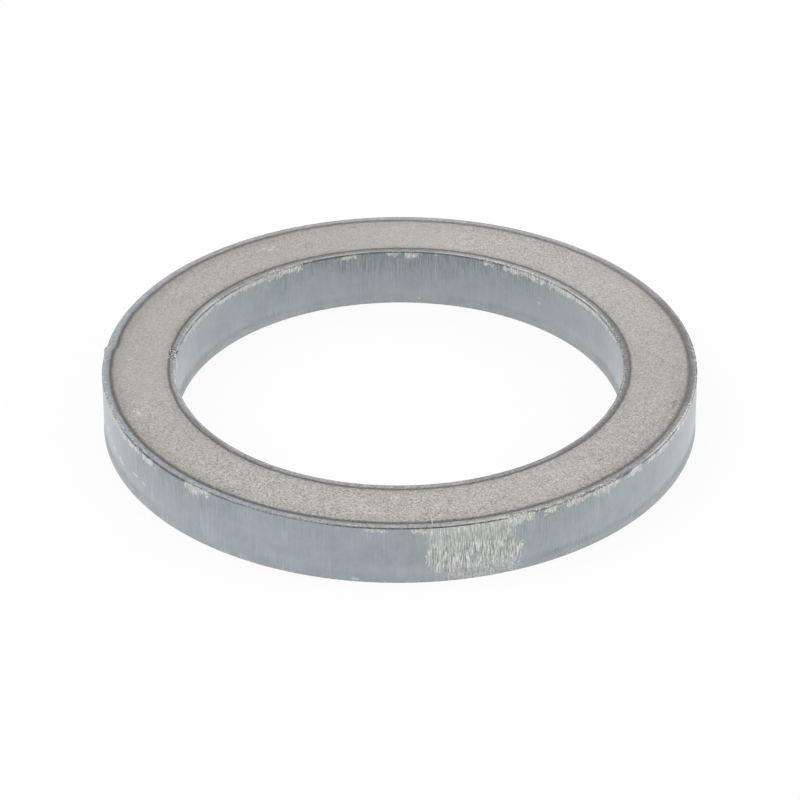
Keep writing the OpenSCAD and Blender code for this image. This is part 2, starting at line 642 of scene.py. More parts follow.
def heat_at(angle, arc, outer):
    """How dark the heat line is, where arc is the way from the cut's start."""
    if outer:
        heat = 0.88 + 0.12 * math.cos(math.radians(angle - 245))
        return heat + 0.12 * math.exp(-((arc / 8) ** 2))
    return 0.94 - 0.06 * swell(angle, 0, 35) + 0.06 * swell(angle, 250, 25)


def line_shift_at(angle, arc, outer):
    """How much further from the cut the heat line lies than the rim's width, in millimetres."""
    if outer:
        return 0.1 * math.cos(math.radians(angle - 210)) + line_kink(arc)
    return 0.05 - 0.05 * math.cos(math.radians(angle - 345))


def burr_at(angle, outer):
    """How far the burr at the foot of a wall stands out, in millimetres."""
    turned = math.radians(angle)
    if outer:
        burr = 0.035 + 0.025 * math.cos(2 * turned - math.radians(70))
        return burr + 0.03 * swell(angle, 190, 14)
    burr = 0.05 * max(0.0, math.cos(turned - math.radians(30)))
    return burr + 0.04 * swell(angle, 168, 10)


def outer_move(angle, arc, upper, runs_out):
    """How far the outside wall leans out or in, and swells by the cut's start."""
    move = 0.04 * upper * max(0.0, math.sin(math.radians(angle)))
    move += 0.045 * (1 - upper) * swell(angle, -9, 12)
    move += 0.02 * runs_out * math.exp(-abs(arc) / 3)
    if arc < 0:
        move -= 0.06 * upper * math.exp(arc / 8)
    drawn_in = 34 if turn_from(angle, 168) < 0 else 14
    return move - 0.05 * upper * swell(angle, 168, drawn_in)


def bore_move(angle, upper):
    """How far the bore wall leans out of its place."""
    front = max(0.0, -math.sin(math.radians(angle)))
    return 0.04 * upper * front**4 + 0.05 * upper * swell(angle, 348, 12)


def wall_move(sizes, place, angle, arc, outer, bare, crumble):
    """How far a point of a wall is moved towards the open side, in millimetres."""
    height = place.z
    upper = clamp((height - UPPER_FROM) / UPPER_RUN)
    grooved = Vector((place.x / GROOVE_PITCH, place.y / GROOVE_PITCH, place.z / GROOVE_LENGTH))
    wandered = Vector((place.x / WANDER_ACROSS, place.y / WANDER_ACROSS, place.z / WANDER_UP))
    out = GROOVE_DEPTH * (1 + upper + bare) * noise.noise(grooved)
    out += WANDER_DEPTH * noise.noise(wandered)
    out += burr_at(angle, outer) * math.exp(-height / BURR_HEIGHT)
    broken = crumble * clamp(height - CRUMBS_FROM)
    out += CRUMB_DEPTH * broken * noise.noise(place / CRUMB_SIZE)
    runs_out = max(0.0, 1 - (sizes.thickness / MM - height) / (sizes.start_depth / MM))
    mark = start_mark(arc, sizes.start_width / MM) * runs_out
    if outer:
        return out + mark * sizes.pip / MM + outer_move(angle, arc, upper, runs_out)
    return out - mark * sizes.nick / MM + bore_move(angle, upper)


def shape_walls(bm, sizes):
    """Moves the walls in and out: drag grooves, a fine burr below, and the marks at the cut's start.
    Writes the bare patches, the heat line's shift and the edge effects on the vertices."""
    new_layer = bm.verts.layers.float.new
    patches = {name: new_layer(name) for name in PATCHES}
    effects = {name: new_layer(name) for name in EDGE_EFFECTS}
    line_shift, line_heat = new_layer("line_shift"), new_layer("line_heat")
    start = math.degrees(sizes.start_angle)
    middle = (sizes.outer_radius + sizes.bore_radius) / 2
    for v in bm.verts:
        radius = math.hypot(v.co.x, v.co.y)
        outer = radius > middle
        side, away = (0, 1) if outer else (1, -1)
        wall = sizes.outer_radius if outer else sizes.bore_radius
        angle = math.degrees(math.atan2(v.co.y, v.co.x))
        place = v.co / MM
        arc = math.radians(turn_from(angle, start)) * wall / MM
        degree = math.radians(wall / MM)
        for name, tables in PATCHES.items():
            v[patches[name]] = max(inside_patch(angle, place.z, degree, p) for p in tables[side])
        strengths = effects_at(round(angle, 3), side)
        for name, strength in strengths.items():
            v[effects[name]] = strength
        v[line_heat] = heat_at(angle, arc, outer)
        v[line_shift] = line_shift_at(angle, arc, outer) - strengths["line_in"]
        bare = clamp(v[patches["flaking"]])
        out = wall_move(sizes, place, angle, arc, outer, bare, strengths["crumble"])
        fade = clamp(1 - abs(wall - radius) / MM / SHAPED_DEPTH)
        moved = radius + away * fade * out * MM
        v.co.x *= moved / radius
        v.co.y *= moved / radius


def lay_out_map(bm):
    """Lays the ring out flat for baked textures, as two half turns one above the other."""
    uv = bm.loops.layers.uv.new("OFBake")
    way = bm.verts.layers.float["way_round"]
    margin = 0.004
    for face in bm.faces:
        middle = face.calc_center_median()
        turn = math.atan2(middle.y, middle.x)
        band = 0 if turn >= 0 else 1
        ways = [loop.vert[way] for loop in face.loops]
        wraps = max(ways) - min(ways) > 0.5
        for loop, share in zip(face.loops, ways):
            at = math.atan2(loop.vert.co.y, loop.vert.co.x)
            across = turn + (at - turn + math.pi) % math.tau - math.pi + band * math.pi
            along = 1.0 if wraps and share < 0.5 else share
            u = margin + (1 - 2 * margin) * across / math.pi
            loop[uv].uv = u, (band + margin + (1 - 2 * margin) * along) / 2


def build_ring(sizes):
    bm = draw_section(sizes)
    upper = corners_at(bm, sizes, sizes.thickness - sizes.rim_drop)
    round_corners(bm, upper, sizes.upper_edge, UPPER_SEGMENTS)
    round_corners(bm, corners_at(bm, sizes, 0), sizes.lower_edge, LOWER_SEGMENTS)
    divide_outline(bm, sizes)
    mark_way_round(bm, sizes)
    spin_section(bm, sizes.steps)
    shape_walls(bm, sizes)
    lay_out_map(bm)
    for face in bm.faces:
        face.smooth = True
        face.material_index = 0 if abs(face.normal.z) > FACE_UP else 1
    mesh = bpy.data.meshes.new("cut_ring")
    bm.to_mesh(mesh)
    bm.free()
    return mesh


# Node trees. Their lengths are in millimetres, and a ramp names its start and end, then its values there.
# Colour shares of the face where it blushes
BLUSH = (1.015, 0.985, 0.97)
FACE_METALLIC = 0.5
SKIN_IOR = 1.8
GRAIN_HEIGHT, FLAKE_HEIGHT = 0.012, 0.02


class Sheet:
    """A node tree, filled one node at a time. A value that is a socket is linked, and any other is set."""

    def __init__(self, tree):
        self.tree = tree

    def add(self, kind, values=None, **settings):
        node = self.tree.nodes.new(kind)
        for name, value in settings.items():
            setattr(node, name, value)
        for key, value in (values or {}).items():
            self.put(node.inputs[key], value)
        return node

    def put(self, socket, value):
        if isinstance(value, bpy.types.NodeSocket):
            self.tree.links.new(value, socket)
        else:
            socket.default_value = value

    def math(self, operation, *values):
        return self.add("ShaderNodeMath", dict(enumerate(values)), operation=operation).outputs[0]

    def plus(self, first, second):
        return self.math("ADD", first, second)

    def minus(self, first, second):
        return self.math("SUBTRACT", first, second)

    def times(self, first, second):
        return self.math("MULTIPLY", first, second)

    def over(self, first, second):
        return self.math("DIVIDE", first, second)

    def most(self, first, second):
        return self.math("MAXIMUM", first, second)

    def scaled(self, value, gain, offset):
        """The value times gain, plus offset."""
        return self.math("MULTIPLY_ADD", value, gain, offset)

    def swing(self, value, span):
        """A noise, which lies about one half, as a swing of this span about 0."""
        return self.scaled(value, span, -span / 2)

    def vector(self, operation, values, output=0):
        return self.add("ShaderNodeVectorMath", values, operation=operation).outputs[output]

    def attribute(self, name):
        return self.add("ShaderNodeAttribute", attribute_name=name).outputs["Fac"]

    def ramp(self, value, start, end, low=0.0, high=1.0):
        """Runs smoothly from low at start to high at end."""
        values = {"Value": value, "From Min": start, "From Max": end, "To Min": low, "To Max": high}
        return self.add("ShaderNodeMapRange", values, interpolation_type="SMOOTHSTEP").outputs["Result"]

    def hump(self, value, centre, half_width):
        """1 at centre, falling smoothly to 0 at half_width away."""
        off = self.math("ABSOLUTE", self.minus(value, centre))
        return self.ramp(off, 0.0, half_width, 1.0, 0.0)

    def mix(self, share, first, second):
        node = self.add("ShaderNodeMix", data_type="RGBA")
        self.put(node.inputs["Factor"], share)
        colours = [s for s in node.inputs if s.type == "RGBA"]
        for socket, colour in zip(colours, (first, second)):
            self.put(socket, colour if isinstance(colour, bpy.types.NodeSocket) else (*colour, 1))
        return next(s for s in node.outputs if s.type == "RGBA")

    def noise(self, place, size, detail=2.0, rough=0.5):
        """Noise whose grains are about size millimetres across."""
        values = {"Vector": place, "Scale": 1 / size, "Detail": detail, "Roughness": rough}
        return self.add("ShaderNodeTexNoise", values).outputs["Fac"]

    def group(self, tree, **values):
        node = self.add("ShaderNodeGroup", node_tree=tree)
        for name, value in values.items():
            self.put(node.inputs[name.replace("_", " ").capitalize()], value)
        return node.outputs


def new_group(name, inputs, outputs):
    """An empty group with these number inputs and these outputs: its sheet, input and end sockets."""
    tree = bpy.data.node_groups.new(name, "ShaderNodeTree")
    for label, value in inputs.items():
        socket = tree.interface.new_socket(label, in_out="INPUT", socket_type="NodeSocketFloat")
        socket.default_value = value
    for label, kind in outputs.items():
        tree.interface.new_socket(label, in_out="OUTPUT", socket_type=kind)
    sheet = Sheet(tree)
    return sheet, sheet.add("NodeGroupInput").outputs, sheet.add("NodeGroupOutput").inputs


def ring_place_group():
    """Where a point of the ring lies, in millimetres and degrees."""
    number, vector = "NodeSocketFloat", "NodeSocketVector"
    outputs = {"Place": vector, "Outward": vector, "Radius": number, "Height": number, "Angle": number}
    sheet, _, end = new_group("Ring place", {}, outputs)
    own = sheet.add("ShaderNodeTexCoord").outputs["Object"]
    place = sheet.vector("SCALE", {0: own, "Scale": 1 / MM})
    flat = sheet.vector("MULTIPLY", {0: place, 1: (1, 1, 0)})
    axes = sheet.add("ShaderNodeSeparateXYZ", {0: place}).outputs
    sheet.put(end["Place"], place)
    sheet.put(end["Outward"], sheet.vector("NORMALIZE", {0: flat}))
    sheet.put(end["Radius"], sheet.vector("LENGTH", {0: flat}, "Value"))
    sheet.put(end["Height"], axes["Z"])
    sheet.put(end["Angle"], sheet.math("DEGREES", sheet.math("ARCTAN2", axes["Y"], axes["X"])))
    return sheet.tree


def single_mark_group(ring_place):
    """A small mark at an angle and a level of the ring, as a mask with a ragged edge."""
    inputs = {"Level": 0.0, "Angle": 0.0, "At": 0.0, "Half length": 1.0, "Half width": 1.0}
    sheet, begin, end = new_group("Single mark", inputs, {"Mark": "NodeSocketFloat"})
    here = sheet.group(ring_place)
    turn = sheet.math("WRAP", sheet.minus(here["Angle"], begin["Angle"]), 180.0, -180.0)
    arc = sheet.times(sheet.math("RADIANS", turn), here["Radius"])
    across = sheet.over(arc, begin["Half length"])
    up = sheet.over(sheet.minus(begin["Level"], begin["At"]), begin["Half width"])
    squares = sheet.plus(sheet.math("POWER", across, 2.0), sheet.math("POWER", up, 2.0))
    ragged = sheet.swing(sheet.noise(here["Place"], 0.3), 1.2)
    off = sheet.plus(sheet.math("SQRT", squares), ragged)
    sheet.put(end["Mark"], sheet.ramp(off, 0.4, 1.0, 1.0, 0.0))
    return sheet.tree


def cut_streaks_group(ring_place):
    """Streaks that run down a cut wall, as noise drawn out along the ring's axis."""
    inputs = {"Pitch": 0.5, "Length": 6.0}
    sheet, begin, end = new_group("Cut streaks", inputs, {"Streak": "NodeSocketFloat"})
    across = sheet.over(1.0, begin["Pitch"])
    down = sheet.over(1.0, begin["Length"])
    scale = sheet.add("ShaderNodeCombineXYZ", {0: across, 1: across, 2: down}).outputs[0]
    drawn = sheet.vector("MULTIPLY", {0: sheet.group(ring_place)["Place"], 1: scale})
    sheet.put(end["Streak"], sheet.noise(drawn, 1.0, 2.0, 0.6))
    return sheet.tree


def rolled_grain_group(ring_place):
    """Fine grain of dull steel, from -1 to 1."""
    sheet, begin, end = new_group("Rolled grain", {"Size": 0.25}, {"Grain": "NodeSocketFloat"})
    values = {"Vector": sheet.group(ring_place)["Place"], "Detail": 2.0, "Roughness": 0.6}
    grain = sheet.add("ShaderNodeTexNoise", values)
    sheet.put(grain.inputs["Scale"], sheet.over(1.0, begin["Size"]))
    sheet.put(end["Grain"], sheet.swing(grain.outputs["Fac"], 2.0))
    return sheet.tree


def edge_crumbs_group(ring_place):
    """Light and dark crumbs of a broken edge, as two masks that die away from the corner."""
    number = "NodeSocketFloat"
    inputs, outputs = {"Way in": 0.0, "Strength": 0.0}, {"Light": number, "Dark": number}
    sheet, begin, end = new_group("Edge crumbs", inputs, outputs)
    specks = sheet.noise(sheet.group(ring_place)["Place"], 0.26, 1.0)
    near = sheet.times(sheet.ramp(begin["Way in"], 0.2, 0.75, 1.0, 0.0), begin["Strength"])
    sheet.put(end["Light"], sheet.times(sheet.ramp(specks, 0.5, 0.66), near))
    sheet.put(end["Dark"], sheet.times(sheet.ramp(specks, 0.46, 0.32), near))
    return sheet.tree


def cut_streaks(sheet, groups, pitch, length):
    return sheet.group(groups["streaks"], pitch=pitch, length=length)["Streak"]


def steel_grain(sheet, groups, size):
    return sheet.group(groups["grain"], size=size)["Grain"]


def edge_crumbs(sheet, groups, way_in):
    return sheet.group(groups["crumbs"], way_in=way_in, strength=sheet.attribute("crumble"))


def all_marks(sheet, groups, level, marks):
    """One mask with every mark of a table, where level is the height or the radius that it gives."""
    mask = 0.0
    for angle, at, half_length, half_width in marks:
        values = {"angle": angle, "at": at, "half_length": half_length, "half_width": half_width}
        mask = sheet.most(mask, sheet.group(groups["mark"], level=level, **values)["Mark"])
    return mask


def shade(sheet, colour, amount):
    """The colour made lighter or darker by a share that varies over the surface."""
    gain = sheet.plus(amount, 1.0)
    grey = sheet.add("ShaderNodeCombineColor", {0: gain, 1: gain, 2: gain}).outputs[0]
    node = sheet.add("ShaderNodeMix", data_type="RGBA", blend_type="MULTIPLY")
    node.inputs["Factor"].default_value = 1.0
    colours = [s for s in node.inputs if s.type == "RGBA"]
    sheet.put(colours[0], colour)
    sheet.put(colours[1], grey)
    return next(s for s in node.outputs if s.type == "RGBA")


def new_material(name):
    material = bpy.data.materials.new(name)
    material.use_nodes = True
    material.node_tree.nodes.clear()
    sheet = Sheet(material.node_tree)
    shader = sheet.add("ShaderNodeBsdfPrincipled")
    sheet.add("ShaderNodeOutputMaterial", {"Surface": shader.outputs[0]})
    return material, sheet, shader


def raise_surface(sheet, shader, height, distance):
    """Feeds a height, in shares of distance, to the shader's normal."""
    bump = sheet.add("ShaderNodeBump", {"Height": height, "Distance": distance, "Strength": 1.0})
    sheet.put(shader.inputs["Normal"], bump.outputs["Normal"])


def on_outer_side(sheet, sizes, radius):
    """1 on the outer half of the ring, 0 on the half beside the bore."""
    return sheet.math("GREATER_THAN", radius, (sizes.outer_radius + sizes.bore_radius) / 2 / MM)


def gap_shade_share(sheet, place, band):
    """How dark the painted shade in the groove below the lip is across its band, which breaks up along the
    edge.
    """
    broken = sheet.ramp(sheet.noise(place, 0.9, 2.0), 0.3, 0.5, 0.45, 1.0)
    return sheet.times(sheet.times(band, sheet.attribute("gap")), broken)


def heat_line(sheet, sizes, place, from_cut, outer, upper):
    """The way past the heat line, then masks of the rim before it, of the line and of the tint behind it."""
    wobble = sheet.swing(sheet.noise(place, 1.6), 0.3)
    bore_rim = sizes.bore_rim / MM
    line_at = sheet.scaled(outer, sizes.rim_width / MM - bore_rim, bore_rim)
    line_at = sheet.plus(sheet.plus(line_at, wobble), sheet.attribute("line_shift"))
    past = sheet.minus(from_cut, line_at)
    rim = sheet.times(sheet.ramp(past, -0.25, 0.05, 1.0, 0.0), upper)
    face_side = sheet.over(past, sheet.scaled(outer, 0.22, 0.5))
    rim_side = sheet.over(past, sheet.scaled(outer, -0.1, -0.42))
    falls = sheet.ramp(rim_side, 1.0, 0.0), sheet.ramp(face_side, 0.0, 1.0, 1.0, 0.0)
    line = sheet.times(sheet.math("MINIMUM", *falls), upper)
    line = sheet.times(line, sheet.attribute("line_heat"))
    tint_at = sheet.over(past, sheet.scaled(outer, 1.5, 1.7))
    tint = sheet.times(sheet.ramp(tint_at, 0.0, 1.0, 1.0, 0.0), sheet.attribute("tinted"))
    return past, rim, line, sheet.times(tint, upper)


def rim_colour(sheet, finish, groups, here, from_cut, past, mottle, outer):
    """Colour of the sunken rim: darker stretches and rubbed streaks, then its lip's painted highlight, the
    groove's painted shade, a dark corner and crumbs.
    """
    ring_streak = sheet.vector("SCALE", {0: here["Outward"], "Scale": 16.0})
    fine_radius = sheet.add("ShaderNodeCombineXYZ", {2: sheet.times(here["Radius"], 5.0)}).outputs[0]
    rubbed = sheet.noise(sheet.vector("ADD", {0: ring_streak, 1: fine_radius}), 1.0, 3.0, 0.6)
    # Rims darker in stretches and towards the heat line
    darkened = sheet.times(sheet.attribute("darkening"), sheet.ramp(mottle, 0.15, 0.5, 0.5, 1.0))
    darkened = sheet.most(darkened, sheet.ramp(past, -1.0, -0.1, 0.0, 0.35))
    steel = sheet.mix(sheet.attribute("cool"), finish.rim, finish.rim_blue)
    band = shade(sheet, sheet.mix(darkened, steel, finish.darkening), sheet.swing(rubbed, 0.6))
    uneven = sheet.swing(sheet.noise(here["Place"], 0.6, 2.0, 0.6), 0.7)
    band = shade(sheet, band, sheet.scaled(sheet.attribute("clean"), 0.1, uneven))
    # Painted highlight on the lip, broken up by the rubbed streaks
    lip = sheet.times(sheet.hump(from_cut, 0.2, 0.2), sheet.attribute("lip"))
    lip = sheet.times(lip, sheet.ramp(rubbed, 0.3, 0.55, 0.3, 1.0))
    band = sheet.mix(lip, band, finish.lip)
    # Painted shade of the groove below the lip, reaching onto the rim's edge
    gap = sheet.ramp(from_cut, 0.02, 0.14, 0.6, 0.0)
    gap = sheet.times(gap, sheet.ramp(outer, 0.0, 1.0, 0.2, 1.0))
    band = sheet.mix(gap_shade_share(sheet, here["Place"], gap), band, finish.gap)
    corner = sheet.times(sheet.ramp(from_cut, 0.04, 0.34, 0.5, 0.0), sheet.attribute("corner"))
    band = sheet.mix(corner, band, finish.gap)
    crumbs = edge_crumbs(sheet, groups, from_cut)
    band = sheet.mix(sheet.times(crumbs["Light"], 0.7), band, finish.lip)
    return sheet.mix(sheet.times(crumbs["Dark"], 0.5), band, finish.gap)


def plain_face(sheet, finish, groups, here, tint):
    """Colour of the face inside the heat lines, before its grain."""
    blush = sheet.ramp(sheet.noise(here["Place"], 1.4), 0.35, 0.65)
    blushed = tuple(level * share for level, share in zip(finish.face, BLUSH))
    face = sheet.mix(tint, sheet.mix(blush, finish.face, blushed), finish.heat_tint)
    smudges = sheet.times(all_marks(sheet, groups, here["Radius"], FACE_SMUDGES), 0.5)
    return sheet.mix(smudges, face, finish.darkening)


def face_material(sizes, finish, groups):
    """Dull rolled face, with the heat line and the sunken rim beside each cut."""
    material, sheet, shader = new_material("rolled_face")
    here = sheet.group(groups["place"])
    place, radius = here["Place"], here["Radius"]
    upper = sheet.ramp(here["Height"], 4.0, 6.0)
    outer = on_outer_side(sheet, sizes, radius)
    from_outer = sheet.minus(sizes.outer_radius / MM, radius)
    from_bore = sheet.minus(radius, sizes.bore_radius / MM)
    from_cut = sheet.math("MINIMUM", from_outer, from_bore)
    past, rim, line, tint = heat_line(sheet, sizes, place, from_cut, outer, upper)

    mottle = sheet.noise(place, 4.0, 3.0)
    face = plain_face(sheet, finish, groups, here, tint)
    band = rim_colour(sheet, finish, groups, here, from_cut, past, mottle, outer)
    colour = sheet.mix(line, sheet.mix(rim, face, band), finish.heat_line)
    spots = all_marks(sheet, groups, radius, START_SPOTS)
    specks = sheet.noise(place, 0.3, 1.0)
    dark_spots = sheet.times(spots, sheet.ramp(specks, 0.48, 0.62, 0.1, 0.95))
    colour = sheet.mix(dark_spots, colour, finish.gap)
    light_spots = sheet.times(spots, sheet.ramp(specks, 0.45, 0.34, 0.0, 0.7))
    colour = sheet.mix(light_spots, colour, finish.lip)
    marks = all_marks(sheet, groups, radius, FACE_MARKS)
    colour = sheet.mix(sheet.times(marks, 0.6), colour, finish.bare)

    coarse = steel_grain(sheet, groups, 0.3)
    grain = sheet.scaled(steel_grain(sheet, groups, 0.15), 0.25, coarse)
    grain = sheet.scaled(steel_grain(sheet, groups, 0.6), 0.22, grain)
    rough = sheet.most(sheet.attribute("rough"), sheet.minus(1.0, upper))
    amount = sheet.times(rough, sheet.ramp(rim, 0.0, 1.0, 1.0, 0.6))
    speckle = sheet.times(sheet.times(grain, amount), 0.92)
    stains = sheet.swing(sheet.noise(place, 1.8, 1.0), 0.1)
    patchy = sheet.plus(sheet.swing(mottle, 0.12), stains)
    dim = sheet.times(sheet.attribute("dim"), sheet.minus(upper, rim))
    patchy = sheet.scaled(dim, -0.085, patchy)
    sheet.put(shader.inputs["Base Color"], shade(sheet, colour, sheet.plus(speckle, patchy)))
    sheet.put(shader.inputs["Roughness"], sheet.ramp(rim, 0.0, 1.0, 0.6, 0.42))
    shader.inputs["Metallic"].default_value = FACE_METALLIC
    raise_surface(sheet, shader, grain, GRAIN_HEIGHT * MM)
    return material


def sideways_turn(sheet, here):
    """How far the ring turns to the right, -1 to 1, and the same without its sign."""
    across = sheet.add("ShaderNodeSeparateXYZ", {0: here["Outward"]}).outputs["X"]
    return across, sheet.math("ABSOLUTE", across)


def violet_ends(sheet, height, across, sideways, outer):
    """Where the skin is violet: at the ring's left and right, but less on the left of the bore."""
    end = sheet.times(sheet.ramp(sideways, 0.7, 0.95, 0.0, 0.8), sheet.ramp(height, 3.0, 8.0))
    left = sheet.times(sheet.ramp(across, -0.5, -0.9), sheet.ramp(across, -0.995, -0.97, 0.0, 0.6))
    left_bore = sheet.most(sheet.minus(left, outer), 0.0)
    return sheet.times(end, sheet.minus(1.0, left_bore))


def hanging_streaks(sheet, groups, height, outer, streaky):
    """Dark streaks that hang from the upper edge."""
    hanging = cut_streaks(sheet, groups, 0.3, 2.0)
    reach = sheet.scaled(hanging, 16.0, sheet.minus(height, 8.0))
    dark = sheet.ramp(reach, 7.4, 10.8, 0.0, 0.85)
    dark = sheet.plus(dark, sheet.ramp(height, 3.0, 8.5, 0.0, 0.4))
    plain = sheet.scaled(outer, -0.1, 0.2)
    return sheet.times(dark, sheet.scaled(streaky, 0.8, plain))


def low_shade_band(sheet, groups, place, height):
    """A ragged band of painted shade low on a wall."""
    drift = sheet.noise(place, 14.0, 1.0)
    ticks = cut_streaks(sheet, groups, 0.45, 1.5)
    low_at = sheet.scaled(ticks, 2.0, sheet.scaled(drift, 0.6, 0.2))
    low = sheet.hump(sheet.minus(height, low_at), 0.0, 0.9)
    low = sheet.times(low, sheet.ramp(ticks, 0.36, 0.6, 0.6, 1.2))
    low = sheet.times(low, sheet.scaled(sheet.attribute("low_shade_band"), 0.36, 0.04))
    return sheet.times(low, sheet.ramp(sheet.noise(place, 2.6), 0.35, 0.6, 0.75, 1.15))


def pale_foot(sheet, finish, skin, height, across, sideways, outer):
    """The skin with its rougher lower part, which is greyer at the ring's left and right."""
    lift = sheet.scaled(outer, -0.15, 0.95)
    even = sheet.times(sheet.times(sheet.attribute("blue"), outer), -0.22)
    even = sheet.scaled(sheet.hump(across, 0.55, 0.45), -0.2, even)
    lift = sheet.scaled(lift, even, lift)
    rougher = sheet.times(sheet.ramp(height, 0.8, 4.2, 1.0, 0.0), lift)
    skin = sheet.mix(rougher, skin, finish.oxide_low)
    foot = sheet.times(sheet.ramp(height, 1.6, 0.7), sheet.ramp(sideways, 0.7, 0.97, 0.0, 0.7))
    foot = sheet.times(foot, sheet.scaled(outer, -0.3, 1.0))
    skin = sheet.mix(foot, skin, finish.foot)
    back_bore = sheet.minus(sheet.ramp(across, 0.25, 0.0), outer)
    pale = sheet.most(back_bore, sheet.times(outer, 0.3))
    pale = sheet.times(sheet.ramp(height, 1.3, 0.5, 0.0, 0.15), pale)
    return sheet.mix(pale, skin, finish.scuff)


def line_strength(sheet, groups, place, height, outer, streaky):
    """How strong the fine lines of the skin are: more so high on the walls, and in bunches."""
    strength = sheet.scaled(streaky, 0.55, sheet.scaled(outer, 0.24, 0.14))
    low_share = sheet.scaled(outer, 0.4, 0.4)
    strength = sheet.times(strength, sheet.ramp(height, 1.5, 8.0, low_share, 1.0))
    strength = sheet.times(strength, sheet.ramp(sheet.noise(place, 4.5, 1.0), 0.3, 0.7, 0.4, 1.6))
    bunches = cut_streaks(sheet, groups, 1.3, 4.0)
    return sheet.times(strength, sheet.ramp(bunches, 0.36, 0.62, 0.35, 1.7))


def oxide_skin(sheet, finish, groups, here, outer):
    """Colour of the skin on the cut walls: clouds, dark streaks, a band of painted shade low down, and fine
    lines.
    """
    place, height = here["Place"], here["Height"]
    across, sideways = sideways_turn(sheet, here)
    streaky = sheet.attribute("streaky")
    clouds = sheet.scaled(sheet.noise(place, 7.0, 2.0), 2.0, -1.5)
    blue = sheet.ramp(sheet.plus(sheet.attribute("blue"), clouds), -0.3, 0.7)
    skin = sheet.mix(blue, finish.oxide_pale, finish.oxide)
    ends = violet_ends(sheet, height, across, sideways, outer)
    skin = sheet.mix(ends, skin, finish.oxide_end)
    skin = pale_foot(sheet, finish, skin, height, across, sideways, outer)
    dark = hanging_streaks(sheet, groups, height, outer, streaky)
    # Painted shade of a shallow hollow low on the wall
    dark = sheet.most(dark, low_shade_band(sheet, groups, place, height))
    skin = sheet.mix(dark, skin, finish.oxide_dark)
    nibs = sheet.ramp(sheet.noise(place, 0.4, 1.0), 0.56, 0.7, 0.0, 0.4)
    skin = sheet.mix(sheet.times(nibs, sheet.ramp(height, 0.8, 0.1)), skin, finish.scuff)
    cloudy = sheet.swing(sheet.noise(place, 0.8, 2.0), 0.12)
    cloudy = sheet.scaled(sheet.minus(sheet.noise(place, 3.2, 2.0), 0.5), 0.3, cloudy)
    glow = sheet.times(sheet.hump(height, 5.0, 3.5), sheet.attribute("glow"))
    cloudy = sheet.scaled(glow, 0.05, cloudy)
    lines = sheet.minus(cut_streaks(sheet, groups, 0.17, 5.0), 0.5)
    strength = line_strength(sheet, groups, place, height, outer, streaky)
    return shade(sheet, skin, sheet.scaled(lines, strength, cloudy))


def flaked_share(sheet, place, height, field, torn):
    """Where the skin has come off, less the shreds of it that stayed."""
    flaked = sheet.ramp(sheet.plus(field, torn), -0.2, 0.0)
    left_over = sheet.ramp(sheet.noise(place, 1.3, 3.0, 0.6), 0.56, 0.68, 0.0, 0.5)
    left_over = sheet.times(left_over, sheet.ramp(field, 0.6, 1.2))
    flaked = sheet.times(flaked, sheet.minus(1.0, left_over))
    kept = sheet.ramp(sheet.noise(place, 0.35, 1.0), 0.5, 0.36, 0.0, 0.5)
    kept = sheet.times(kept, sheet.ramp(height, 7.8, 8.8))
    return sheet.times(flaked, sheet.minus(1.0, kept))


def rub_skin(sheet, finish, groups, place, outer, torn, skin):
    """The skin with its rubbed, dull places."""
    strokes = cut_streaks(sheet, groups, 0.2, 1.0)
    rubbed = sheet.ramp(sheet.plus(sheet.attribute("scuffing"), torn), -0.4, 0.3)
    skin = sheet.mix(sheet.times(sheet.times(rubbed, outer), 0.35), skin, finish.bare_dark)
    specks = sheet.noise(place, 0.3, 2.0, 0.7)
    specks = sheet.scaled(specks, 0.5, sheet.times(strokes, 0.5))
    rubbed = sheet.times(rubbed, sheet.ramp(specks, 0.44, 0.58, 0.0, 0.95))
    return sheet.mix(rubbed, skin, finish.scuff)


def bare_steel(sheet, finish, groups, here):
    """Colour of the steel under the skin: grooves and deep scores, and a painted sheen high up at the ring's
    left and right.
    """
    height = here["Height"]
    grooves = cut_streaks(sheet, groups, 0.11, 1.6)
    grooves = sheet.plus(grooves, sheet.swing(sheet.noise(here["Place"], 0.45, 1.0), 0.16))
    smooth = sheet.ramp(height, 5.0, 9.4, 1.0, 0.75)
    grooved = sheet.times(sheet.ramp(grooves, 0.42, 0.58), smooth)
    steel = sheet.mix(grooved, finish.bare, finish.bare_dark)
    scores = cut_streaks(sheet, groups, 0.12, 1.4)
    deep = sheet.times(sheet.ramp(scores, 0.54, 0.66, 0.0, 0.65), smooth)
    steel = sheet.mix(deep, steel, finish.oxide_dark)
    dull = sheet.times(sheet.ramp(height, 6.0, 8.0, 0.0, 0.3), sheet.ramp(height, 9.0, 8.2))
    steel = sheet.mix(dull, steel, finish.bare_dark)
    _, sideways = sideways_turn(sheet, here)
    # Painted sheen: lighter high on the bare steel where the wall faces the ring's left or right
    side_sheen = sheet.times(sheet.ramp(height, 8.0, 9.0), sheet.ramp(sideways, 0.6, 0.85, 0.06, 0.26))
    return sheet.mix(side_sheen, steel, finish.lip)


def gap_shade_band(sheet, sizes, height, outer):
    """The painted shade in the groove below the lip, across its height; on the outer wall it climbs less
    where the lip's painted highlight is strong.
    """
    gap_at = (sizes.thickness - sizes.rim_drop - sizes.lip - sizes.gap / 2) / MM
    low = sheet.scaled(sheet.attribute("gap_shade_height"), -0.25, gap_at - 0.22)
    low = sheet.scaled(outer, 0.06, low)
    bright = sheet.most(sheet.scaled(sheet.attribute("lip"), -0.9, 0.8), 0.0)
    top = sheet.scaled(outer, 0.05, gap_at + 0.08)
    above = sheet.scaled(outer, bright, 0.05)
    below_top = sheet.ramp(height, top, gap_at, above, 1.0)
    return sheet.times(sheet.ramp(height, low, sheet.plus(low, 0.16)), below_top)


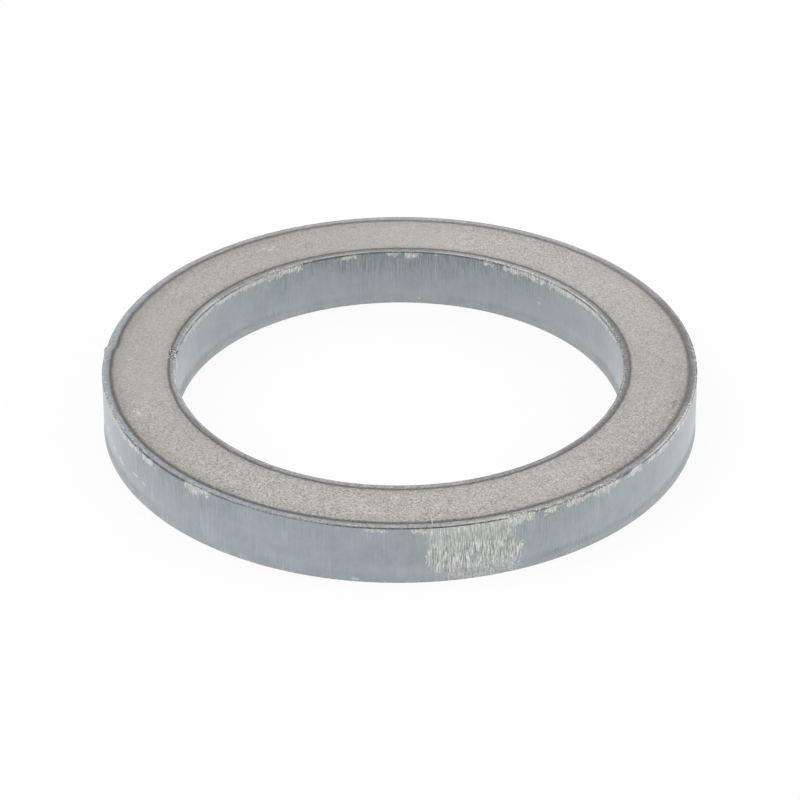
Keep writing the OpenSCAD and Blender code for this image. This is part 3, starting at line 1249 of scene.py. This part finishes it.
def wall_marks(sheet, groups, height, outer):
    """The single marks on both walls, fainter in the bore."""
    outer_marks = sheet.times(all_marks(sheet, groups, height, OUTER_MARKS), outer)
    bore_marks = sheet.times(all_marks(sheet, groups, height, BORE_MARKS), 0.7)
    return sheet.most(outer_marks, sheet.times(bore_marks, sheet.minus(1.0, outer)))


def wall_material(sizes, finish, groups):
    """Blue-grey oxide skin of the cut walls, flaked down to bare steel in patches."""
    material, sheet, shader = new_material("cut_wall")
    here = sheet.group(groups["place"])
    place, height = here["Place"], here["Height"]
    outer = on_outer_side(sheet, sizes, here["Radius"])

    streak = cut_streaks(sheet, groups, 0.4, 2.0)
    blobs = sheet.swing(sheet.noise(place, 1.0, 1.0), 1.8)
    scraps = sheet.swing(sheet.noise(place, 0.42, 1.0), 1.2)
    torn = sheet.plus(sheet.swing(streak, 0.1), sheet.plus(blobs, scraps))
    field = sheet.attribute("flaking")
    flaked = flaked_share(sheet, place, height, field, torn)

    skin = oxide_skin(sheet, finish, groups, here, outer)
    trail = sheet.ramp(cut_streaks(sheet, groups, 0.2, 3.0), 0.53, 0.66)
    trail = sheet.times(trail, sheet.ramp(field, -2.4, -0.2, 0.0, 0.2))
    trail = sheet.times(trail, sheet.ramp(height, 5.5, 7.5))
    skin = sheet.mix(trail, skin, finish.bare)
    skin = rub_skin(sheet, finish, groups, place, outer, torn, skin)
    steel = bare_steel(sheet, finish, groups, here)

    # Painted shade in the groove below the lip
    gap = gap_shade_share(sheet, place, gap_shade_band(sheet, sizes, height, outer))
    colour = sheet.mix(gap, sheet.mix(flaked, skin, steel), finish.gap)
    marks = sheet.times(wall_marks(sheet, groups, height, outer), 0.5)
    colour = sheet.mix(marks, colour, finish.lip)
    crumbs = edge_crumbs(sheet, groups, sheet.minus(sizes.thickness / MM, height))
    colour = sheet.mix(sheet.times(crumbs["Light"], 0.7), colour, finish.bare)
    colour = sheet.mix(sheet.times(crumbs["Dark"], 0.4), colour, finish.gap)
    spots = sheet.minus(all_marks(sheet, groups, height, START_WALL_SPOTS), outer)
    colour = sheet.mix(sheet.most(spots, 0.0), colour, finish.gap)
    grain = sheet.times(steel_grain(sheet, groups, 0.2), 0.08)
    sheet.put(shader.inputs["Base Color"], shade(sheet, colour, grain))
    satin = sheet.ramp(height, 0.6, 3.2, 0.9, 0.28)
    sheet.put(shader.inputs["Roughness"], sheet.most(satin, sheet.times(flaked, 0.5)))
    sheet.put(shader.inputs["Metallic"], sheet.ramp(flaked, 0.0, 1.0, 0.0, 0.6))
    shader.inputs["IOR"].default_value = SKIN_IOR
    relief = sheet.minus(sheet.times(streak, 0.4), flaked)
    raise_surface(sheet, shader, relief, FLAKE_HEIGHT * MM)
    return material


# Operators
# The floor's half width, the camera's sensor in millimetres, and how near and far it sees
FLOOR_HALF = 4.0
SENSOR = 36.0
NEAR, FAR = 0.01, 20.0


class LOCKING_PLATE_OT_ring(bpy.types.Operator):
    """Build the steel ring in place of the plain one"""

    bl_idname = "locking_plate.ring"
    bl_label = "Cut Ring"

    def execute(self, context):
        sizes, finish = context.scene.plate_sizes, context.scene.plate_finish
        place = ring_place_group()
        groups = {
            "place": place,
            "streaks": cut_streaks_group(place),
            "grain": rolled_grain_group(place),
            "crumbs": edge_crumbs_group(place),
            "mark": single_mark_group(place),
        }
        mesh = build_ring(sizes)
        mesh.materials.append(face_material(sizes, finish, groups))
        mesh.materials.append(wall_material(sizes, finish, groups))
        ring = bpy.data.objects.new("cut_ring", mesh)
        context.collection.objects.link(ring)
        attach(ring, BODY)
        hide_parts(NODE)
        return {"FINISHED"}


def seen_directly(sheet):
    """1 for rays that show a surface itself, straight or mirrored, and 0 for those that carry its light."""
    path = sheet.add("ShaderNodeLightPath").outputs
    seen = sheet.most(path["Is Camera Ray"], path["Is Glossy Ray"])
    return sheet.most(seen, path["Is Transmission Ray"])


def floor_material(white_share):
    """White floor that keeps a faint shadow."""
    material = bpy.data.materials.new("pale_floor")
    material.use_nodes = True
    material.node_tree.nodes.clear()
    sheet = Sheet(material.node_tree)
    matt = sheet.add("ShaderNodeBsdfDiffuse", {"Color": (0.9, 0.9, 0.9, 1)})
    white = sheet.add("ShaderNodeEmission", {"Color": (1, 1, 1, 1), "Strength": 1.0})
    share = sheet.times(seen_directly(sheet), white_share)
    both = sheet.add("ShaderNodeMixShader", {0: share, 1: matt.outputs[0], 2: white.outputs[0]})
    sheet.add("ShaderNodeOutputMaterial", {"Surface": both.outputs[0]})
    return material


class LOCKING_PLATE_OT_stage(bpy.types.Operator):
    """Lay the floor, set the light and place the camera"""

    bl_idname = "locking_plate.stage"
    bl_label = "Stage"

    def execute(self, context):
        stage, sizes = context.scene.plate_stage, context.scene.plate_sizes
        self.lay_floor(context, stage)
        self.set_light(context, stage)
        self.place_camera(context, stage, Vector((0, 0, sizes.thickness / 2)))
        return {"FINISHED"}

    def lay_floor(self, context, stage):
        bm = bmesh.new()
        bmesh.ops.create_grid(bm, x_segments=1, y_segments=1, size=FLOOR_HALF)
        mesh = bpy.data.meshes.new("floor")
        bm.to_mesh(mesh)
        bm.free()
        mesh.materials.append(floor_material(stage.floor_white))
        floor = bpy.data.objects.new("floor", mesh)
        context.collection.objects.link(floor)

    def set_light(self, context, stage):
        world = bpy.data.worlds.new("even_light")
        world.use_nodes = True
        sheet = Sheet(world.node_tree)
        world.node_tree.nodes.clear()
        strength = sheet.ramp(seen_directly(sheet), 0.0, 1.0, stage.sky, 1.0)
        sky = sheet.add("ShaderNodeBackground", {"Color": (1, 1, 1, 1), "Strength": strength})
        sheet.add("ShaderNodeOutputWorld", {"Surface": sky.outputs[0]})
        context.scene.world = world
        self.hang_lamp(context, "overhead_lamp", (-0.25, -0.1, 0.9), 0.9, stage.lamp)
        self.hang_lamp(context, "left_lamp", (-0.75, 0.0, 0.28), 0.5, stage.left_lamp)
        self.hang_lamp(context, "right_lamp", (0.75, 0.0, 0.28), 0.5, stage.right_lamp)
        context.scene.view_settings.view_transform = "Standard"

    def hang_lamp(self, context, name, spot, size, power):
        """A round soft lamp that faces the ring."""
        lamp = bpy.data.lights.new(name, "AREA")
        lamp.shape = "DISK"
        lamp.size = size
        lamp.energy = power
        hung = bpy.data.objects.new(name, lamp)
        hung.location = spot
        hung.rotation_mode = "QUATERNION"
        hung.rotation_quaternion = hung.location.to_track_quat("Z", "Y")
        context.collection.objects.link(hung)

    def place_camera(self, context, stage, target):
        camera = bpy.data.cameras.new("camera")
        camera.lens = stage.lens
        camera.sensor_width = SENSOR
        camera.shift_x, camera.shift_y = stage.frame_x, stage.frame_y
        camera.clip_start, camera.clip_end = NEAR, FAR
        holder = bpy.data.objects.new("camera", camera)
        tilt = Matrix.Rotation(math.pi / 2 - stage.elevation, 4, "X")
        back = Vector((0, -math.cos(stage.elevation), math.sin(stage.elevation)))
        spot = Matrix.Translation(target + back * stage.distance)
        holder.matrix_world = spot @ tilt @ Matrix.Rotation(stage.roll, 4, "Z")
        context.collection.objects.link(holder)
        context.scene.camera = holder


class LOCKING_PLATE_PT_panel(bpy.types.Panel):
    """Sizes, colours and stage of the locking plate"""

    bl_idname = "LOCKING_PLATE_PT_panel"
    bl_label = "Locking Plate"
    bl_space_type = "VIEW_3D"
    bl_region_type = "UI"
    bl_category = "Locking Plate"

    def draw(self, context):
        layout, scene = self.layout, context.scene
        for group in (scene.plate_sizes, scene.plate_finish, scene.plate_stage):
            box = layout.box()
            for name in group.__annotations__:
                box.prop(group, name)
        layout.operator(LOCKING_PLATE_OT_ring.bl_idname)
        layout.operator(LOCKING_PLATE_OT_stage.bl_idname)


CLASSES = (
    PlateSizes,
    PlateFinish,
    PlateStage,
    LOCKING_PLATE_OT_ring,
    LOCKING_PLATE_OT_stage,
    LOCKING_PLATE_PT_panel,
)


def register():
    for cls in CLASSES:
        bpy.utils.register_class(cls)
    bpy.types.Scene.plate_sizes = PointerProperty(type=PlateSizes)
    bpy.types.Scene.plate_finish = PointerProperty(type=PlateFinish)
    bpy.types.Scene.plate_stage = PointerProperty(type=PlateStage)


def unregister():
    del bpy.types.Scene.plate_stage
    del bpy.types.Scene.plate_finish
    del bpy.types.Scene.plate_sizes
    for cls in reversed(CLASSES):
        bpy.utils.unregister_class(cls)


def main():
    register()
    bpy.ops.locking_plate.ring()
    bpy.ops.locking_plate.stage()


if __name__ == "__main__":
    main()
